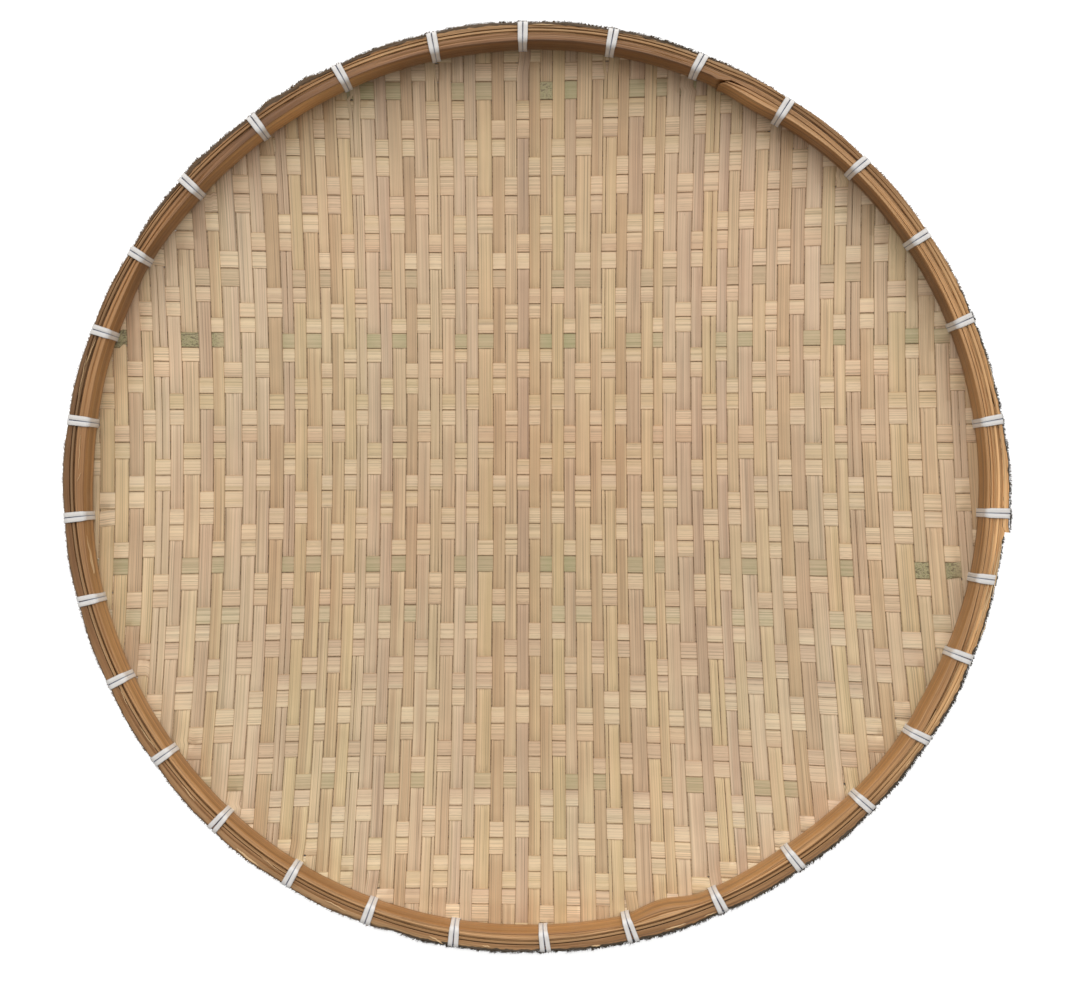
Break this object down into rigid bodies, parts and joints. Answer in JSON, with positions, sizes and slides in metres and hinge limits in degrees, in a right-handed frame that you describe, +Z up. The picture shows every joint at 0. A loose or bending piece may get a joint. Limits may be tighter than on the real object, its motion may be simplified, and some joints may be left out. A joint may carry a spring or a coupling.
{
  "type": "woven bamboo tray",
  "caption": "Round, shallow woven bamboo tray with a double hoop rim, bent, lapped and bound to the mat by strap ties; it holds food or goods laid on its woven floor.",
  "frame": {"origin": "middle of the tray's outside, on the level that its ties stand on", "axes": "+Z up, out of the tray; +Y to the far side, along the narrow strips of the mat; +X to the right, with the lap of the outer hoop"},
  "size_m": [0.5996, 0.5886, 0.0286],
  "materials": {
    "mat_bamboo": "split bamboo strips, raw, satin with fine fibre lines",
    "mat_edge_bamboo": "cut edge of the bamboo mat, rough",
    "inner_hoop_bamboo": "split bamboo hoop, smooth skin, satin",
    "filler_bamboo": "thin split bamboo strip, raw",
    "outer_hoop_bamboo": "split bamboo hoop, weathered skin outside",
    "tie_strap": "white flat plastic strap, satin"
  },
  "bodies": {
    "root": {"woven_floor": "mat_bamboo", "mat_margin": "mat_edge_bamboo", "inner_hoop": "inner_hoop_bamboo", "filler_strip": "filler_bamboo", "outer_hoop": "outer_hoop_bamboo", "tie_01": "tie_strap", "tie_02": "tie_strap", "tie_03": "tie_strap", "tie_04": "tie_strap", "tie_05": "tie_strap", "tie_06": "tie_strap", "tie_07": "tie_strap", "tie_08": "tie_strap", "tie_09": "tie_strap", "tie_10": "tie_strap", "tie_11": "tie_strap", "tie_12": "tie_strap", "tie_13": "tie_strap", "tie_14": "tie_strap", "tie_15": "tie_strap", "tie_16": "tie_strap", "tie_17": "tie_strap", "tie_18": "tie_strap", "tie_19": "tie_strap", "tie_20": "tie_strap", "tie_21": "tie_strap", "tie_22": "tie_strap", "tie_23": "tie_strap", "tie_24": "tie_strap", "tie_25": "tie_strap", "tie_26": "tie_strap", "tie_27": "tie_strap", "tie_28": "tie_strap", "tie_29": "tie_strap", "tie_30": "tie_strap", "tie_31": "tie_strap", "tie_32": "tie_strap"}
  },
  "joints": []
}
